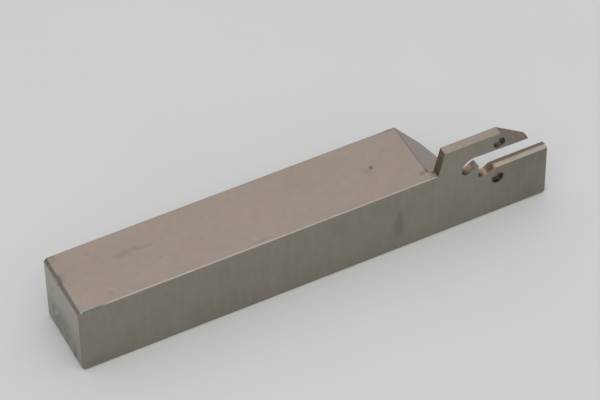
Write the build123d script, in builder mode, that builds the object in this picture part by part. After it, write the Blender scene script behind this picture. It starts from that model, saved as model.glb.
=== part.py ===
from build123d import *
import os
from math import cos, radians, sin, tan

# Parting and grooving tool holder with an integral square shank and a self-grip insert pocket.
# The holder is one piece of steel: shank, thin blade, lower jaw and elastic upper jaw.
# X runs along the shank towards the cutting end, Y across it and Z up.
# The origin is at the middle of the underside. Lengths are millimetres, angles are degrees.

# Shank
overall_length = 125.0
shank_width = 20.0
shank_height = 20.0
edge_break = 0.35  # chamfer round both sides of the shank
end_break = 0.75  # chamfer across the top and bottom of the rear end

# Blade, flush with the shank's near side
blade_thickness = 2.4
blade_toe_break = 0.8  # chamfer at the lower corner of the cutting end

# Relief that sets the blade free of the shank
slope_reach = 31.7  # cutting end back to where the shank's top face stops
slope_angle = 51.0  # fall of the relief below the horizontal
side_reach = 24.7  # cutting end back to where the far side starts to close in
side_angle = 34.0  # angle of that closing-in, seen from above
slope_break = 0.25  # chamfer where the top face meets the relief
root_radius = 1.0  # fillet between the relief and the blade

# Upper jaw
jaw_rise = 7.1  # top of the jaw above the shank
jaw_length = 24.7  # tip of the jaw back to its foot
jaw_setback = 5.6  # tip of the jaw behind the cutting end
jaw_lean = 13.5  # lean of the jaw's rear face from the vertical
jaw_nose_angle = 35.0
jaw_foot_radius = 0.5

# Insert pocket between the jaws
seat_height = 15.7
seat_length = 15.0
mouth_height = 5.9  # seat to roof at the tip of the jaw
roof_angle = 1.4  # rise of the roof away from the mouth
pocket_depth = 19.1  # cutting end back to the insert stop
seat_ridge = 0.35  # height of the V ridge that enters the groove under the insert
roof_ridge = 0.2  # height of the V ridge that enters the groove on top of it

# Insert stop and the relief at its foot
stop_height = 18.45
stop_width = 0.6  # flat on top of the stop
stop_radius = 0.8  # rounding behind that flat
relief_depth = 1.25
relief_angle = 36.0
relief_radius = 0.8

# Slit that lets the upper jaw spring open
slit_length = 4.65  # insert stop back to the end of the slit
slit_floor_angle = 32.0
slit_roof_radius = 3.35
slit_floor_radius = 1.3

# Blind holes for the pins of the release key
key_hole_diameter = 3.1
key_hole_depth = 1.1
key_hole_setback = 13.65  # holes behind the cutting end
upper_key_height = 23.95
lower_key_height = 11.8

# Knock on the top edge of the rear end
knock_offset = 2.2  # from the middle of the shank towards the far side
knock_width = 2.8
knock_depth = 0.45
knock_angle = 45.0  # direction of the blow below the horizontal, square to the chamfer

rear_x = -overall_length / 2
tip_x = overall_length / 2
near_y = -shank_width / 2
far_y = shank_width / 2
blade_far_y = near_y + blade_thickness
blade_mid_y = near_y + blade_thickness / 2
cut_margin = 2.0  # how far a cut runs past the surface that it opens


def side_plane(y):
    """Plane of the side view at y, with a sketch's own axes along X and Z."""
    return Plane.XZ.offset(-y)


# Side view of the shank: the chamfered rear end and the slope of the relief.
slope_top_x = tip_x - slope_reach
slope_foot_x = slope_top_x + shank_height / tan(radians(slope_angle))
side_x = tip_x - side_reach

# Upper jaw: rear foot, top and the line of the nose, which ends on the roof of the pocket.
jaw_top = shank_height + jaw_rise
jaw_tip_x = tip_x - jaw_setback
jaw_tip_z = seat_height + mouth_height
jaw_foot_x = jaw_tip_x - jaw_length
jaw_rear_x = jaw_foot_x + jaw_rise * tan(radians(jaw_lean))
jaw_front_x = jaw_tip_x - (jaw_top - jaw_tip_z) / tan(radians(jaw_nose_angle))

# Pocket: the roof climbs away from the mouth, and the slit continues it behind the stop.
stop_x = tip_x - pocket_depth
slit_x = stop_x - slit_length
crest_x = stop_x - stop_width
roof_slope = tan(radians(roof_angle))
slit_roof_z = jaw_tip_z + (jaw_tip_x - slit_x) * roof_slope
tip_roof_z = jaw_tip_z - jaw_setback * roof_slope
slit_floor_z = stop_height - (crest_x - slit_x) * tan(radians(slit_floor_angle))

# Relief at the foot of the stop: a flat floor and a ramp that climbs to the rear of the seat.
relief_slope = tan(radians(relief_angle))
relief_floor_z = seat_height - relief_depth
seat_rear_x = tip_x - seat_length
relief_end_x = seat_rear_x - relief_depth / relief_slope
ramp_rise = 2 * seat_ridge  # how far the ramp's line is drawn on above the seat, over its ridge
ramp_top_x = seat_rear_x + ramp_rise / relief_slope
ramp_top_z = seat_height + ramp_rise

with BuildPart() as holder:
    with BuildSketch(side_plane(far_y)):
        with BuildLine():
            Polyline(
                (rear_x, end_break),
                (rear_x + end_break, 0),
                (slope_foot_x, 0),
                (slope_top_x, shank_height),
                (rear_x + end_break, shank_height),
                (rear_x, shank_height - end_break),
                close=True,
            )
        make_face()
    extrude(amount=shank_width)

    # The far side closes in towards the blade, clear of a large workpiece.
    side_run = slope_foot_x - side_x + cut_margin
    with BuildSketch(Plane.XY):
        with BuildLine():
            Polyline(
                (side_x, far_y),
                (side_x + side_run, far_y),
                (side_x + side_run, far_y - side_run * tan(radians(side_angle))),
                close=True,
            )
        make_face()
    extrude(amount=shank_height, mode=Mode.SUBTRACT)

    # The blade runs on from the shank's near side to the cutting end.
    with BuildSketch(side_plane(blade_far_y)):
        with BuildLine():
            Polyline(
                (slope_top_x - blade_thickness, 0),
                (tip_x - blade_toe_break, 0),
                (tip_x, blade_toe_break),
                (tip_x, shank_height),
                (slope_top_x - blade_thickness, shank_height),
                close=True,
            )
        make_face()
    extrude(amount=blade_thickness)

    root_middle = ((slope_top_x + slope_foot_x) / 2, blade_far_y, shank_height / 2)
    fillet(holder.edges().sort_by_distance(root_middle)[0], radius=root_radius)

    # Edge breaks: right round the far side, and round the near side up to the blade.
    sides = holder.faces().filter_by(Plane.XZ).sort_by(Axis.Y)
    near_edges = sides[0].edges().filter_by(lambda edge: edge.center().X < slope_top_x)
    chamfer(near_edges + sides[-1].edges(), length=edge_break)
    chamfer(holder.edges().sort_by_distance((slope_top_x, 0, shank_height))[0], length=slope_break)

    # Upper jaw, still a plain block at the front.
    with BuildSketch(side_plane(blade_far_y)):
        with BuildLine():
            FilletPolyline(
                (jaw_foot_x - jaw_foot_radius, seat_height),
                (jaw_foot_x - jaw_foot_radius, shank_height),
                (jaw_foot_x, shank_height),
                (jaw_rear_x, jaw_top),
                (tip_x, jaw_top),
                (tip_x, seat_height),
                radius=(0, 0, jaw_foot_radius, 0, 0, 0),
                close=True,
            )
        make_face()
    extrude(amount=blade_thickness)

    # Pocket and slit, cut right through the blade in one outline.
    with BuildSketch(side_plane(blade_far_y)):
        with BuildLine():
            FilletPolyline(
                (tip_x, tip_roof_z),
                (slit_x, slit_roof_z),
                (slit_x, slit_floor_z),
                (crest_x, stop_height),
                (stop_x, stop_height),
                (stop_x, seat_height),
                (tip_x, seat_height),
                radius=(0, slit_roof_radius, slit_floor_radius, stop_radius, 0, 0, 0),
                close=True,
            )
        make_face()
    extrude(amount=blade_thickness, mode=Mode.SUBTRACT)

    # V ridges along the seat and the roof, each with its apex towards the insert. The seat's one
    # starts inside the relief and the roof's one past the jaw's nose, and the cuts below trim both.
    seat_start = Plane((relief_end_x, 0, seat_height), x_dir=(0, 1, 0), z_dir=(1, 0, 0))
    roof_back = (-cos(radians(roof_angle)), 0, sin(radians(roof_angle)))
    roof_start = Plane((tip_x, 0, tip_roof_z), x_dir=(0, 1, 0), z_dir=roof_back)
    for start, ridge, length in (
        (seat_start, seat_ridge, tip_x - relief_end_x),
        (roof_start, roof_ridge, pocket_depth / cos(radians(roof_angle))),
    ):
        with BuildSketch(start):
            with BuildLine():
                Polyline((near_y, 0), (blade_mid_y, ridge), (blade_far_y, 0), close=True)
            make_face()
        extrude(amount=length)

    # The nose of the upper jaw, ground off with its ridge down to a thin edge.
    nose_end_z = seat_height + mouth_height / 2
    nose_end_x = jaw_tip_x + (jaw_tip_z - nose_end_z) / tan(radians(jaw_nose_angle))
    nose_front_x = max(tip_x, nose_end_x) + cut_margin
    with BuildSketch(side_plane(blade_far_y)):
        with BuildLine():
            Polyline(
                (jaw_front_x, jaw_top),
                (nose_end_x, nose_end_z),
                (nose_front_x, nose_end_z),
                (nose_front_x, jaw_top),
                close=True,
            )
        make_face()
    extrude(amount=blade_thickness, mode=Mode.SUBTRACT)

    # Relief under the insert's lower rear corner, which also trims the seat's ridge.
    with BuildSketch(side_plane(blade_far_y)):
        with BuildLine():
            FilletPolyline(
                (stop_x, ramp_top_z),
                (stop_x, relief_floor_z),
                (relief_end_x, relief_floor_z),
                (ramp_top_x, ramp_top_z),
                radius=(0, relief_radius, relief_radius, 0),
                close=True,
            )
        make_face()
    extrude(amount=blade_thickness, mode=Mode.SUBTRACT)

    # Blind key holes in the near side.
    with BuildSketch(side_plane(near_y)):
        with Locations(
            (tip_x - key_hole_setback, upper_key_height),
            (tip_x - key_hole_setback, lower_key_height),
        ):
            Circle(key_hole_diameter / 2)
    extrude(amount=-key_hole_depth, mode=Mode.SUBTRACT)

    # The knock is a shallow round dent in the chamfer at the top of the rear end.
    knock_radius = (knock_width**2 / 4 + knock_depth**2) / (2 * knock_depth)
    knock_rise = (knock_radius - knock_depth) * sin(radians(knock_angle)) - end_break / 2
    with Locations((rear_x - knock_rise, knock_offset, shank_height + knock_rise)):
        Sphere(knock_radius, mode=Mode.SUBTRACT)

holder.part.label = "tool_holder"
os.makedirs("parts", exist_ok=True)
export_step(holder.part, "parts/tool_holder.step")
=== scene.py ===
import bpy
from mathutils import Matrix, Vector


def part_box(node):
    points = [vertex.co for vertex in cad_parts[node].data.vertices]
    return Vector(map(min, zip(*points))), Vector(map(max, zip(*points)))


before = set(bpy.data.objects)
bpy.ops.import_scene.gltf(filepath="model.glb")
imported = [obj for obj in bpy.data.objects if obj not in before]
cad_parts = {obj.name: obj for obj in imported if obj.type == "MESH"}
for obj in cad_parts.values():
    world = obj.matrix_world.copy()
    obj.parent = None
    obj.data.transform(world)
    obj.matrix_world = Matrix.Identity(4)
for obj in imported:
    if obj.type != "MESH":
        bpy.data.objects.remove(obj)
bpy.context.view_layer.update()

bl_info = {
    "name": "Parting tool holder",
    "version": (1, 0, 0),
    "blender": (4, 5, 0),
    "location": "View3D > Sidebar > Tool holder",
    "description": "Gives a parting tool holder its ground steel finish and stands it on a pale bench",
    "category": "Object",
}

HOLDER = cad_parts["tool_holder"]
LOW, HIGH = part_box("tool_holder")

PER_METRE = 1000.0

# All lengths from here to the marks are millimetres.
BENCH_GAP = 0.02  # keeps the bench's top clear of the holder's underside

# Places on the holder that the finish follows.
REAR_X = LOW.x * PER_METRE
TIP_X = HIGH.x * PER_METRE
NEAR_Y = LOW.y * PER_METRE
FAR_Y = HIGH.y * PER_METRE
BLADE_THICKNESS = 2.4
BLADE_FAR_Y = NEAR_Y + BLADE_THICKNESS
BLADE_MID_Y = NEAR_Y + BLADE_THICKNESS / 2
SHANK_TOP = 20.0
SEAT_RIDGE_TOP = 16.05
SEAT_REAR_X = TIP_X - 15.0
SLIT_X = TIP_X - 23.75
KEY_HOLE_X = TIP_X - 13.65
KEY_HOLE_RADIUS = 1.55
KEY_HOLE_DEPTH = 1.1
KEY_HOLES = (  # height of each hole, the strength of the painted shade in it and of the painted highlight on its floor
    (23.95, 0.30, 1.00),
    (11.80, 0.70, 1.00),
)
KNOCK_Y = 2.2
CREVICE_REACH = 1.2  # grime and painted shade gather where other faces lie nearer than this

# Parts of a face's unit normal along an axis, between which a face starts to count as looking that way.
FLAT_ON = (0.80, 0.95)
ASLANT = (0.50, 0.65)

# Marks: the centre, the half sizes and the strength of each one. Most are left by use; the dark marks at the
# head are mostly painted shade.
TOP_PITS = (
    ((19.4, 0.3, SHANK_TOP), (0.55, 0.55, 0.5), 0.50),
    ((18.5, -0.4, SHANK_TOP), (0.9, 0.7, 0.5), 0.12),
    ((31.1, -6.8, 19.8), (0.85, 0.7, 0.8), 0.62),
    ((29.5, -7.1, SHANK_TOP), (0.75, 0.6, 0.5), 0.30),
    ((29.0, 9.8, 19.9), (1.5, 0.5, 0.5), 0.55),
)
TOP_STAINS = (
    ((-37.8, -2.4, SHANK_TOP), (0.45, 0.45, 0.5), 0.12),
    ((-52.7, -7.4, SHANK_TOP), (0.6, 0.6, 0.5), 0.10),
    ((-52.8, 6.3, SHANK_TOP), (0.7, 0.6, 0.5), 0.08),
    ((-46.7, 2.2, SHANK_TOP), (1.1, 0.8, 0.5), 0.10),
    ((-44.6, 2.8, SHANK_TOP), (1.6, 0.8, 0.5), 0.14),
    ((-42.5, 2.9, SHANK_TOP), (1.5, 0.5, 0.5), 0.14),
    ((-40.0, 2.3, SHANK_TOP), (2.6, 0.3, 0.5), 0.12),
    ((-14.8, -8.8, SHANK_TOP), (2.6, 0.3, 0.5), 0.14),
)
NEAR_SIDE_SMEARS = (
    ((21.9, NEAR_Y, 10.6), (0.7, 0.6, 2.8), 0.22),
    ((21.6, NEAR_Y, 8.0), (1.2, 0.6, 3.2), 0.26),
    ((5.7, NEAR_Y, 15.0), (1.6, 0.6, 2.6), 0.10),
    ((-59.1, NEAR_Y, 1.8), (2.2, 0.6, 1.6), 0.10),
)
REAR_END_SMUDGES = (
    ((REAR_X, -5.8, 3.0), (0.6, 0.45, 2.4), 0.50),
    ((REAR_X, -5.8, 1.3), (0.6, 0.60, 1.1), 0.85),
    ((REAR_X, 6.0, 12.8), (0.6, 0.8, 0.7), 0.25),
)
# Painted shade in the near halves of the slit and the relief, where the upper jaw shades them, with a few
# other dark spots on the head.
HEAD_SHADE_AND_DIRT = (
    ((39.6, -9.4, 17.0), (1.2, 1.7, 0.9), 0.90),
    ((41.6, -10.1, 17.6), (1.9, 0.9, 1.5), 0.40),
    ((42.5, -8.2, 18.3), (0.9, 0.9, 0.5), 0.50),
    ((43.9, -9.6, 14.6), (0.90, 1.2, 0.65), 0.90),
    ((47.1, -9.2, 15.4), (1.1, 1.6, 0.9), 0.60),
    ((56.4, BLADE_MID_Y, 21.8), (1.5, 1.6, 0.8), 0.30),
    ((KEY_HOLE_X, NEAR_Y + 0.4, 10.2), (1.5, 0.9, 0.5), 0.95),  # painted shade on the lower wall of the lower key hole
)
JAW_FOOT_DIRT = (
    ((32.1, -7.9, 20.1), (0.7, 0.7, 0.5), 0.62),
    ((32.5, -9.1, 20.1), (0.5, 0.8, 0.45), 0.85),
)
DARK_MARKS = TOP_PITS + TOP_STAINS + NEAR_SIDE_SMEARS + REAR_END_SMUDGES + HEAD_SHADE_AND_DIRT + JAW_FOOT_DIRT
BROWN_MARKS = (
    ((31.6, -8.9, SHANK_TOP), (1.0, 1.3, 0.5), 0.60),
    ((41.6, BLADE_MID_Y, 18.0), (1.4, 1.7, 0.8), 0.45),
    ((44.3, BLADE_MID_Y, 14.5), (1.3, 1.7, 0.6), 0.85),
    ((46.9, BLADE_MID_Y, 15.3), (1.0, 1.7, 1.0), 0.80),
    ((39.8, -9.4, 17.0), (1.3, 1.5, 0.8), 0.60),
)
MARK_EDGE = 0.6  # how soft the edges of all these marks are

# Single marks: the centre, the half sizes and how soft the edge of each one is.
KNOCK = ((REAR_X + 0.35, KNOCK_Y, SHANK_TOP - 0.3), (1.45, 1.8, 1.2), 0.5)
# The knock's pale and dark parts are a painted highlight and painted shade on the two sides of its dent.
KNOCK_PAINTED_SHADE = ((REAR_X + 0.4, KNOCK_Y + 0.8, SHANK_TOP - 0.7), (0.4, 0.8, 0.35), 0.5)
KNOCK_PAINTED_HIGHLIGHT = ((REAR_X + 0.9, KNOCK_Y - 0.3, SHANK_TOP - 0.4), (0.4, 1.0, 0.35), 0.5)
REAR_END_STAIN = ((REAR_X, 1.8, 6.5), (0.8, 5.8, 4.4), 0.5)
SCRATCH_FAN = ((REAR_X + 1.2, FAR_Y - 1.1, SHANK_TOP), (1.5, 1.5, 0.5), 0.4)
SCRATCH_FAN_X = REAR_X - 1.5  # the point that the scratches fan out of lies just off the corner
SCRATCH_FAN_Y = FAR_Y + 1.0
FAR_CORNER = ((REAR_X + 0.2, FAR_Y - 0.3, SHANK_TOP - 0.1), (0.8, 0.7, 0.7), 0.5)
# A painted glint on the near rear corner.
CORNER_GLINT = ((REAR_X + 0.85, NEAR_Y + 0.2, SHANK_TOP - 0.12), (0.32, 0.22, 0.22), 0.5)


class Socket:
    """An output of a node. Python's operators on it add the matching Math nodes."""

    def __init__(self, graph, link):
        self.graph = graph
        self.link = link

    def maths(self, operation, *values):
        return self.graph.node("ShaderNodeMath", {"operation": operation}, dict(enumerate(values)))

    def __add__(self, other):
        return self.maths("ADD", self, other)

    def __radd__(self, other):
        return self.maths("ADD", other, self)

    def __sub__(self, other):
        return self.maths("SUBTRACT", self, other)

    def __rsub__(self, other):
        return self.maths("SUBTRACT", other, self)

    def __mul__(self, other):
        return self.maths("MULTIPLY", self, other)

    def __rmul__(self, other):
        return self.maths("MULTIPLY", other, self)

    def __neg__(self):
        return self.maths("MULTIPLY", self, -1.0)

    def __abs__(self):
        return self.maths("ABSOLUTE", self)

    def most(self, other):
        return self.maths("MAXIMUM", self, other)

    def step(self, start, end):
        """Goes smoothly from 0 where the value is start to 1 where it is end."""
        return self.graph.node(
            "ShaderNodeMapRange", {"interpolation_type": "SMOOTHSTEP"},
            {"Value": self, "From Min": start, "From Max": end})


class Graph:
    """The node tree of a material or a world, emptied for a new finish."""

    def __init__(self, owner):
        owner.use_nodes = True
        self.nodes = owner.node_tree.nodes
        self.links = owner.node_tree.links
        self.nodes.clear()

    def node(self, kind, settings, inputs, out=0):
        """Adds a node: its settings first, then its inputs, which are values or links by name or number."""
        made = self.nodes.new(kind)
        for name, setting in settings.items():
            setattr(made, name, setting)
        for key, value in inputs.items():
            if isinstance(value, Socket):
                self.links.new(value.link, made.inputs[key])
            else:
                made.inputs[key].default_value = value
        return Socket(self, made.outputs[out]) if made.outputs else made

    def vector(self, operation, *values, out=0):
        return self.node("ShaderNodeVectorMath", {"operation": operation}, dict(enumerate(values)), out)

    def scaled(self, colour, factor):
        return self.node("ShaderNodeVectorMath", {"operation": "SCALE"}, {"Vector": colour, "Scale": factor})

    def parts(self, vector):
        split = self.node("ShaderNodeSeparateXYZ", {}, {0: vector}).link.node
        return [Socket(self, output) for output in split.outputs]

    def mix(self, share, start, end):
        """The colour that is start where share is 0 and end where share is 1."""
        return self.node("ShaderNodeMix", {"data_type": "RGBA"}, {0: share, 6: start, 7: end}, out=2)

    def place_and_facing(self):
        """A point's place on its object, in millimetres, and the unit normal of its face."""
        coordinates = self.nodes.new("ShaderNodeTexCoord")
        in_metres = Socket(self, coordinates.outputs["Object"])
        place = self.vector("MULTIPLY", in_metres, (PER_METRE, PER_METRE, PER_METRE))
        return place, Socket(self, coordinates.outputs["Normal"])

    def noise(self, place, stretch, detail):
        """Noise from 0 to 1. Stretch holds how many of its lumps lie in a millimetre along each axis."""
        return self.node(
            "ShaderNodeTexNoise", {"noise_dimensions": "3D"},
            {"Vector": self.vector("MULTIPLY", place, stretch), "Scale": 1.0, "Detail": detail})


class Surface:
    """A point on the holder's surface, with the masks and noises that parts of the finish share."""

    def __init__(self, graph):
        self.graph = graph
        self.place, facing = graph.place_and_facing()
        self.x, self.y, self.z = graph.parts(self.place)
        self.face_x, self.face_y, self.face_z = graph.parts(facing)
        self.mask_faces()
        self.mask_head()
        self.add_noises()

    def mark(self, centre, half_sizes, edge):
        """1 inside an ellipsoid with a soft edge, 0 outside it."""
        graph = self.graph
        offset = graph.vector("DIVIDE", graph.vector("SUBTRACT", self.place, centre), half_sizes)
        return 1.0 - graph.vector("LENGTH", offset, out=1).step(1.0 - edge, 1.0 + edge)

    def noise(self, stretch, detail):
        return self.graph.noise(self.place, stretch, detail)

    def mask_faces(self):
        """Faces by the way they look, and the breaks between them."""
        self.knock = self.mark(*KNOCK)
        rear_break = (-self.face_x).step(*ASLANT) * abs(self.face_z).step(*ASLANT)
        self.end_break = rear_break * self.z.step(1.0, 2.0)
        self.near_break = (-self.face_y).step(*ASLANT) * self.face_z.step(*ASLANT)
        self.far_break = self.face_y.step(*ASLANT) * self.face_z.step(0.25, 0.4)
        self.upward = self.face_z.step(0.3, 0.6) * (1.0 - rear_break) * (1.0 - self.knock)
        self.endward = abs(self.face_x).step(*FLAT_ON)
        self.sideward = abs(self.face_y).step(*FLAT_ON)

    def mask_head(self):
        """Faces of the blade, its seat and the upper jaw, and the slope of the relief."""
        x, y, z = self.x, self.y, self.z
        self.in_blade = y.step(BLADE_FAR_Y + 0.2, BLADE_FAR_Y - 0.1)
        seat = self.in_blade * x.step(SEAT_REAR_X - 0.2, SEAT_REAR_X + 0.2)
        seat = seat * z.step(SEAT_RIDGE_TOP + 0.6, SEAT_RIDGE_TOP + 0.3) * self.face_z.step(0.8, 0.9)
        self.near_flank = seat * y.step(BLADE_MID_Y - 0.02, BLADE_MID_Y - 0.22)
        self.far_flank = seat * (1.0 - self.near_flank)
        self.jaw_back = self.endward * z.step(SHANK_TOP + 0.1, SHANK_TOP + 0.5)
        self.nose = self.face_x.step(0.4, 0.5) * z.step(SHANK_TOP, SHANK_TOP + 1.0) * self.in_blade
        self.slope = self.face_x.step(0.6, 0.7) * self.face_z.step(0.5, 0.6)

    def add_noises(self):
        """Clouds, fine speckle, grinding lines that run along the bar or across its ends, and scratches."""
        self.cloudy = self.noise((0.38, 0.42, 0.30), 3.0)
        self.speckle = self.noise((3.2, 3.2, 3.2), 2.0)
        long_lines = self.noise((0.10, 6.0, 6.0), 2.0)
        cross_lines = self.noise((5.0, 0.15, 5.0), 2.0)
        self.lines = long_lines + (cross_lines - long_lines) * self.endward
        self.scratches = self.noise((0.28, 7.0, 7.0), 0.0).step(0.70, 0.78)


def colour_setting(name, description, red, green, blue):
    return bpy.props.FloatVectorProperty(
        name=name, description=description, subtype="COLOR", size=4, min=0.0, max=1.0,
        default=(red, green, blue, 1.0))


class HolderFinish(bpy.types.PropertyGroup):
    """Tones and texture of the holder's steel, with the colours of the painted highlights, reflection and
    shade on it.
    """

    side_colour: colour_setting(
        "Side tone", "Grey-green tone of the ground sides and the blade", 0.281, 0.267, 0.211)
    side_patch_colour: colour_setting(
        "Side patches", "Warmer tone of the patches on the sides", 0.299, 0.273, 0.226)
    # The top tones paint a warm reflection on the faces that look up.
    top_reflection_colour: colour_setting(
        "Top tone", "Pinkish tone of the faces that look up", 0.374, 0.303, 0.263)
    top_patch_reflection_colour: colour_setting(
        "Top patches", "Greyer tone of the patches on the faces that look up", 0.361, 0.304, 0.261)
    end_colour: colour_setting(
        "End tone", "Paler tone of the sawn and milled rear end", 0.414, 0.393, 0.336)
    # A painted highlight on the upper part of the near edge's break.
    edge_highlight_colour: colour_setting(
        "Edge tone", "Bare steel of the rubbed near edge", 0.520, 0.505, 0.440)
    # Besides the brown in the recesses, this tone paints shade behind the upper jaw and on the seat's far
    # flank.
    brown_colour: colour_setting(
        "Brown tone", "Brown skin left by heat in the recesses and behind the jaw", 0.300, 0.200, 0.128)
    # A painted highlight on the seat's near flank and on the middle of the key holes' floors.
    flank_and_floor_highlight_colour: colour_setting(
        "Seat tone", "Rubbed steel of the seat's near flank and the key holes' floors", 0.400, 0.350, 0.292)
    # Painted shade on the lower part of the near edge's break, and the dark stretch of that edge at the rear
    # end.
    dark_edge_colour: colour_setting(
        "Chipped edge tone", "Dark bluish steel of the near edge at the rear end", 0.120, 0.135, 0.130)
    knock_colour: colour_setting(
        "Knock tone", "Bruised violet grey of the knock on the rear edge", 0.265, 0.240, 0.234)
    # A painted glint on the near rear corner.
    glint_colour: colour_setting(
        "Burr tone", "Bright bluish steel of the raised burr on a corner", 0.32, 0.40, 0.40)
    # Besides grime in the corners, this tone paints the shade in the corners, recesses and key holes, behind
    # the upper jaw, on the seat's far flank and along the far edges.
    dirt_and_shade_colour: colour_setting(
        "Dirt tone", "Dried coolant and brown dirt in the corners", 0.070, 0.052, 0.038)
    roughness: bpy.props.FloatProperty(
        name="Roughness", description="Satin gloss of the ground faces",
        min=0.05, max=1.0, default=0.40)
    grain_depth: bpy.props.FloatProperty(
        name="Grain depth", description="Depth of the grinding lines",
        unit="LENGTH", min=0.0, max=0.0001, precision=6, default=0.000006)
    edge_rounding: bpy.props.FloatProperty(
        name="Edge rounding", description="Radius at which the light sees the corners broken",
        unit="LENGTH", min=0.0, max=0.001, precision=5, default=0.00014)


class BenchStage(bpy.types.PropertyGroup):
    """Bench, light and camera."""

    bench_colour: colour_setting("Bench", "Pale matt top of the bench", 0.524, 0.525, 0.530)
    bench_size: bpy.props.FloatProperty(
        name="Bench size", description="Length of each side of the bench",
        unit="LENGTH", min=0.5, max=10.0, default=4.0)
    horizon_light: bpy.props.FloatProperty(
        name="Horizon light", description="Brightness of the studio at the height of the bench",
        min=0.0, max=2.0, default=0.40)
    ceiling_light: bpy.props.FloatProperty(
        name="Ceiling light", description="Brightness of the studio straight above the bench",
        min=0.0, max=2.0, default=1.0)
    lamp_power: bpy.props.FloatProperty(
        name="Lamp power", description="Power of the broad soft lamp in front of the bench",
        subtype="POWER", min=0.0, max=100.0, default=5.1)
    lamp_size: bpy.props.FloatProperty(
        name="Lamp size", description="Length of each side of the lamp",
        unit="LENGTH", min=0.1, max=3.0, default=1.0)
    lamp_place: bpy.props.FloatVectorProperty(
        name="Lamp", description="Place of the lamp, which faces the holder",
        subtype="XYZ", unit="LENGTH", size=3, default=(-0.20, -0.35, 1.03))
    focal_length: bpy.props.FloatProperty(
        name="Focal length", description="Lens of the camera on its 36 mm sensor, in millimetres",
        min=20.0, max=500.0, default=193.04)
    camera_place: bpy.props.FloatVectorProperty(
        name="Camera", description="Place of the camera",
        subtype="XYZ", unit="LENGTH", size=3, default=(-0.23325, -0.47234, 0.57830))
    camera_right: bpy.props.FloatVectorProperty(
        name="Camera right", description="Direction that the camera's right-hand side looks to",
        subtype="DIRECTION", size=3, precision=4, default=(0.8909, -0.4541, -0.0118))
    camera_up: bpy.props.FloatVectorProperty(
        name="Camera up", description="Direction that the camera's top looks to",
        subtype="DIRECTION", size=3, precision=4, default=(0.3379, 0.6452, 0.6852))


def ground_tone(spot, finish):
    """Tone of the steel, which follows the way each face looks. The pinkish tone of the faces that look up
    is a painted reflection of a warm room.
    """
    graph = spot.graph
    elsewhere = graph.vector("ADD", spot.place, (40.0, 15.0, 7.0))
    patches = graph.noise(elsewhere, (0.36, 0.50, 0.28), 3.0).step(0.38, 0.62)
    side = graph.mix(patches, finish.side_colour, finish.side_patch_colour)
    top = graph.mix(patches, finish.top_reflection_colour, finish.top_patch_reflection_colour)
    # Painted reflection: the faces that look up take the warm top tones.
    tone = graph.mix(spot.upward, side, top)
    tone = graph.mix(spot.endward, tone, finish.end_colour)
    tone = graph.mix(spot.end_break, tone, finish.side_colour)
    return graph.scaled(tone, brightness(spot))


def brightness(spot):
    """Mottling, smears and lines. The sides darken towards the tip, and the rear end darkens towards its
    foot as painted shade.
    """
    broad = spot.noise((0.05, 0.09, 0.09), 2.0)
    wiped = spot.noise((0.9, 0.9, 0.08), 2.0) * spot.sideward
    level = 0.615 + 0.16 * broad + 0.17 * spot.cloudy + 0.27 * spot.speckle
    level = level + 0.06 * spot.lines + 0.20 * wiped + 0.10 * spot.scratches
    tip = spot.sideward * spot.x.step(TIP_X - 20.0, TIP_X - 4.0)
    level = level - tip * (0.14 + 0.08 * spot.z.step(SEAT_RIDGE_TOP - 7.0, SEAT_RIDGE_TOP - 1.0))
    # Painted shade: the rear end darkens towards its foot.
    foot = spot.endward * spot.x.step(0.0, REAR_X) * spot.z.step(16.0, 2.0)
    return level - 0.16 * foot


def near_edge_highlight_and_shade(spot, finish, tone):
    """A painted highlight on the upper part of the near edge's break and painted shade on its lower part;
    over its last few millimetres the edge is dark all through.
    """
    at_top = spot.z.step(SHANK_TOP - 0.23, SHANK_TOP - 0.15)
    at_rear = spot.x.step(REAR_X + 9.0, REAR_X + 5.0)
    # Painted shade on the lower part of the break, with the dark stretch at the rear end.
    edge_shade_and_dark_rear = spot.near_break * (0.60 * (1.0 - at_top)).most(0.90 * at_rear)
    # Painted highlight on the upper part of the break.
    tone = spot.graph.mix(0.35 * (spot.near_break * at_top), tone, finish.edge_highlight_colour)
    return spot.graph.mix(edge_shade_and_dark_rear, tone, finish.dark_edge_colour)


def seat_flank_highlight(spot, finish, tone):
    """A painted highlight on the near flank of the seat's ridge, brightest at its rear."""
    # Painted highlight on the seat's near flank.
    tone = spot.graph.mix(0.95 * spot.near_flank, tone, finish.flank_and_floor_highlight_colour)
    gain = 0.67 * spot.x.step(SEAT_REAR_X + 11.5, SEAT_REAR_X + 2.0) - 0.17
    return spot.graph.scaled(tone, 1.0 + spot.near_flank * gain)


def brown_tint_and_shade(spot, finish, tone):
    """Brown that is painted shade behind the upper jaw and on the seat's far flank, and brown on the jaw's
    nose, on the relief's slope and in the recesses.
    """
    lower_back = spot.z.step(SHANK_TOP + 5.5, SHANK_TOP + 3.0)
    # Painted shade behind the upper jaw and on the seat's far flank.
    brown = (spot.jaw_back * (0.30 + 0.32 * lower_back)).most(0.45 * spot.far_flank)
    brown = brown.most(0.62 * spot.nose).most(0.10 * spot.slope)
    for centre, half_sizes, strength in BROWN_MARKS:
        brown = brown.most(spot.mark(centre, half_sizes, MARK_EDGE) * strength)
    brown = brown * (1.0 - spot.sideward) * (1.0 - spot.near_break)
    return spot.graph.mix(brown, tone, finish.brown_colour)


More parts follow.
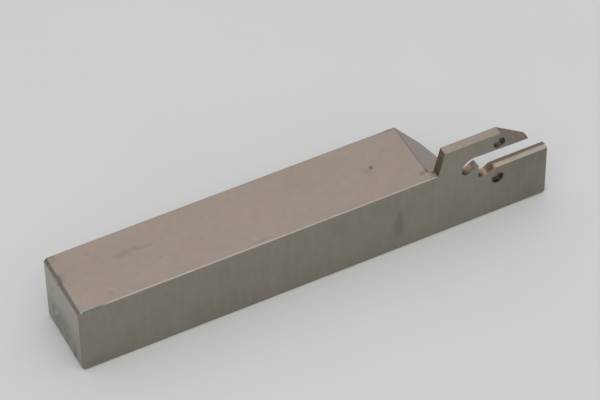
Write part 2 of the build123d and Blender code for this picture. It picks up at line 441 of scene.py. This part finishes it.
def corner_dirt_and_shade(spot):
    """Share of grime and painted shade in the corners, and of the dark marks and the streaks on the rear
    end.
    """
    # The corners darken by their occlusion: painted shade, with grime.
    crevice_dirt_and_shade = spot.graph.node(
        "ShaderNodeAmbientOcclusion", {"samples": 8, "only_local": True},
        {"Distance": CREVICE_REACH / PER_METRE}, out=1)
    dirt_and_shade = crevice_dirt_and_shade.step(0.62, 0.12) * (1.0 - spot.sideward) * 0.60
    # At the head the marks darken only the walls of its recesses, and leave its sides untouched.
    head_side = spot.in_blade * spot.x.step(SLIT_X - 2.0, SLIT_X - 1.5) * spot.sideward
    for centre, half_sizes, strength in DARK_MARKS:
        shown = spot.mark(centre, half_sizes, MARK_EDGE) * strength
        dirt_and_shade = dirt_and_shade.most(shown * (1.0 - head_side))
    streaks = spot.noise((0.1, 0.9, 0.35), 2.0).step(0.40, 0.65)
    dirt_and_shade = dirt_and_shade.most(0.36 * (spot.mark(*REAR_END_STAIN) * streaks))
    return dirt_and_shade * (0.5 + spot.cloudy)


def face_shade(spot):
    """Share of the even darkening of whole faces: painted shade behind the jaw, on the seat's far flank and
    along the far edges, and a darker nose and far strip of the jaw's top.
    """
    # Painted shade behind the jaw, on the seat's far flank and along the far edges.
    dirt_and_shade = (0.36 * spot.jaw_back).most(0.30 * spot.far_flank)
    dirt_and_shade = dirt_and_shade.most(0.5 * spot.far_break).most(0.14 * spot.nose)
    jaw_top = spot.in_blade * spot.upward * spot.z.step(SHANK_TOP + 1.0, SHANK_TOP + 3.0)
    return dirt_and_shade.most(0.14 * (jaw_top * spot.y.step(BLADE_FAR_Y - 0.35, BLADE_FAR_Y - 0.1)))


def key_hole(spot, height, shade_strength):
    """Share of painted shade on a key hole's wall and round the edge of its floor, with a dark ring at its
    rim, and the middle of its floor that gets a painted highlight.
    """
    mouth = (KEY_HOLE_X, NEAR_Y, height)
    bottom = (KEY_HOLE_X, NEAR_Y + KEY_HOLE_DEPTH, height)
    reach = KEY_HOLE_RADIUS + 0.1
    wall = spot.mark(bottom, (reach, 2.0 * KEY_HOLE_DEPTH, reach), 0.05) * (1.0 - spot.sideward)
    floor = spot.mark(bottom, (reach, 0.5 * KEY_HOLE_DEPTH, reach), 0.05) * spot.sideward
    # The middle of the floor gets a painted highlight.
    floor_highlight = spot.mark(bottom, (0.8 * reach, KEY_HOLE_DEPTH, 0.8 * reach), 0.3) * spot.sideward
    rim = spot.mark(mouth, (1.15 * reach, 0.3, 1.15 * reach), 0.12) * spot.sideward
    # Painted shade on the wall and round the edge of the floor, and a dark ring at the rim.
    dirt_and_shade = (shade_strength * wall).most(0.5 * shade_strength * (floor - floor_highlight)).most(0.45 * shade_strength * rim)
    return dirt_and_shade, floor * floor_highlight


def rear_edge_marks(spot, finish, tone):
    """A knock on the rear edge with a painted highlight and shade on its dent, scratches that fan out of the
    far corner, and a painted glint on the near one.
    """
    graph = spot.graph
    tone = graph.mix(0.80 * spot.knock, tone, finish.knock_colour)
    # Painted highlight and painted shade on the two sides of the dent.
    dent_highlight_and_shade = spot.mark(*KNOCK_PAINTED_HIGHLIGHT) - spot.mark(*KNOCK_PAINTED_SHADE)
    tone = graph.scaled(tone, 1.0 + 0.28 * dent_highlight_and_shade)

    fan_x = spot.x - SCRATCH_FAN_X
    fan_y = SCRATCH_FAN_Y - spot.y
    angle = graph.node("ShaderNodeMath", {"operation": "ARCTAN2"}, {0: fan_x, 1: fan_y})
    rays = graph.node(
        "ShaderNodeTexNoise", {"noise_dimensions": "1D"}, {"W": angle, "Scale": 12.0, "Detail": 0.0})
    scratched = spot.mark(*SCRATCH_FAN) * rays.step(0.48, 0.6)
    tone = graph.mix(0.60 * scratched, tone, finish.dirt_and_shade_colour)

    tone = graph.mix(0.20 * spot.mark(*FAR_CORNER), tone, finish.dirt_and_shade_colour)
    # A painted glint on the near rear corner.
    return graph.mix(spot.mark(*CORNER_GLINT), tone, finish.glint_colour)


def grain(spot, finish):
    """Normal of the ground surface: corners that the light sees broken, grinding lines and scratches."""
    rounded = spot.graph.node("ShaderNodeBevel", {"samples": 6}, {"Radius": finish.edge_rounding})
    height = spot.lines + 0.5 * spot.speckle - 0.6 * spot.scratches
    return spot.graph.node(
        "ShaderNodeBump", {},
        {"Strength": 1.0, "Distance": finish.grain_depth, "Height": height, "Normal": rounded})


def ground_steel(finish):
    """Fine ground steel with a painted warm reflection on its upper faces, painted highlights and shade on
    its edges, seat and recesses, dark marks, and grime and painted shade in its corners.
    """
    material = bpy.data.materials.new("ground_steel")
    graph = Graph(material)
    spot = Surface(graph)
    tone = ground_tone(spot, finish)
    tone = near_edge_highlight_and_shade(spot, finish, tone)
    tone = seat_flank_highlight(spot, finish, tone)
    tone = brown_tint_and_shade(spot, finish, tone)

    dirt_and_shade = corner_dirt_and_shade(spot).most(face_shade(spot))
    for height, shade_strength, floor_light in KEY_HOLES:
        hole_shade_and_rim, lit_floor = key_hole(spot, height, shade_strength)
        dirt_and_shade = dirt_and_shade.most(hole_shade_and_rim)
        # Painted highlight on the middle of each key hole's floor.
        tone = graph.mix(floor_light * lit_floor, tone, finish.flank_and_floor_highlight_colour)
    # Grime and painted shade darken the tone.
    tone = graph.mix(dirt_and_shade, tone, finish.dirt_and_shade_colour)
    tone = rear_edge_marks(spot, finish, tone)

    roughness = finish.roughness - 0.10 + 0.12 * spot.lines + 0.08 * spot.cloudy + 0.15 * dirt_and_shade
    steel = graph.node(
        "ShaderNodeBsdfPrincipled", {},
        {"Base Color": tone, "Metallic": 1.0, "Roughness": roughness, "Normal": grain(spot, finish)})
    graph.node("ShaderNodeOutputMaterial", {}, {"Surface": steel})
    return material


def matt_bench(stage):
    """Pale matt board with a very faint mottle."""
    material = bpy.data.materials.new("matt_bench")
    graph = Graph(material)
    place, _ = graph.place_and_facing()
    mottle = graph.noise(place, (0.02, 0.02, 0.02), 2.0)
    shade = Vector(stage.bench_colour[:3])
    colour = graph.mix(mottle, (*(0.98 * shade), 1.0), (*(1.02 * shade), 1.0))
    board = graph.node(
        "ShaderNodeBsdfPrincipled", {},
        {"Base Color": colour, "Roughness": 0.9, "Specular IOR Level": 0.2})
    graph.node("ShaderNodeOutputMaterial", {}, {"Surface": board})
    return material


def lay_bench(context, stage):
    """Lays the bench just under the holder."""
    bench_z = LOW.z - BENCH_GAP / PER_METRE
    bpy.ops.mesh.primitive_plane_add(size=stage.bench_size, location=(0.0, 0.0, bench_z))
    bench = context.object
    bench.name = "bench"
    bench.data.materials.append(matt_bench(stage))


def light_studio(context, stage):
    """A white world, brighter overhead than at the horizon, and one broad soft lamp."""
    world = bpy.data.worlds.new("studio")
    context.scene.world = world
    graph = Graph(world)
    direction = graph.node("ShaderNodeTexCoord", {}, {})
    height = graph.parts(direction)[2]
    gain = stage.ceiling_light - stage.horizon_light
    strength = stage.horizon_light + gain * height.step(0.15, 0.75)
    sky = graph.node("ShaderNodeBackground", {}, {"Color": (1.0, 1.0, 1.0, 1.0), "Strength": strength})
    graph.node("ShaderNodeOutputWorld", {}, {"Surface": sky})

    bpy.ops.object.light_add(type="AREA", location=stage.lamp_place)
    lamp = context.object
    lamp.name = "soft_lamp"
    lamp.data.energy = stage.lamp_power
    lamp.data.size = stage.lamp_size
    lamp.visible_camera = False
    lamp.rotation_euler = Vector(stage.lamp_place).to_track_quat("Z", "Y").to_euler()


def place_camera(context, stage):
    """Stands the camera in its place and squares its axes to each other."""
    bpy.ops.object.camera_add()
    camera = context.object
    camera.name = "camera"
    camera.data.sensor_fit = "HORIZONTAL"
    camera.data.sensor_width = 36.0
    camera.data.lens = stage.focal_length
    camera.data.clip_start = 0.01
    right, up = Vector(stage.camera_right), Vector(stage.camera_up)
    back = right.cross(up).normalized()
    right = up.cross(back).normalized()
    up = back.cross(right)
    turn = Matrix((right, up, back)).transposed().to_4x4()
    camera.matrix_world = Matrix.Translation(stage.camera_place) @ turn
    context.scene.camera = camera
    context.scene.view_settings.view_transform = "Standard"


class HOLDER_OT_finish(bpy.types.Operator):
    """Gives the one-piece holder its ground steel finish"""

    bl_idname = "holder.finish"
    bl_label = "Finish the holder"

    def execute(self, context):
        material = ground_steel(context.scene.holder_finish)
        for slot in HOLDER.material_slots:
            slot.material = material
        return {"FINISHED"}


class HOLDER_OT_stage(bpy.types.Operator):
    """Lays out the bench, the studio light and the camera"""

    bl_idname = "holder.stage"
    bl_label = "Set the stage"

    def execute(self, context):
        stage = context.scene.bench_stage
        bpy.ops.object.select_all(action="DESELECT")
        lay_bench(context, stage)
        light_studio(context, stage)
        place_camera(context, stage)
        return {"FINISHED"}


class HOLDER_PT_panel(bpy.types.Panel):
    """Steps and settings of the tool holder"""

    bl_label = "Tool holder"
    bl_idname = "HOLDER_PT_panel"
    bl_space_type = "VIEW_3D"
    bl_region_type = "UI"
    bl_category = "Tool holder"

    def draw(self, context):
        for owner in (context.scene.holder_finish, context.scene.bench_stage):
            for name in type(owner).__annotations__:
                self.layout.prop(owner, name)
        self.layout.operator(HOLDER_OT_finish.bl_idname)
        self.layout.operator(HOLDER_OT_stage.bl_idname)


CLASSES = (HolderFinish, BenchStage, HOLDER_OT_finish, HOLDER_OT_stage, HOLDER_PT_panel)


def register():
    for each in CLASSES:
        bpy.utils.register_class(each)
    bpy.types.Scene.holder_finish = bpy.props.PointerProperty(type=HolderFinish)
    bpy.types.Scene.bench_stage = bpy.props.PointerProperty(type=BenchStage)


def unregister():
    del bpy.types.Scene.bench_stage
    del bpy.types.Scene.holder_finish
    for each in reversed(CLASSES):
        bpy.utils.unregister_class(each)


def main():
    register()
    bpy.ops.holder.finish()
    bpy.ops.holder.stage()


if __name__ == "__main__":
    main()
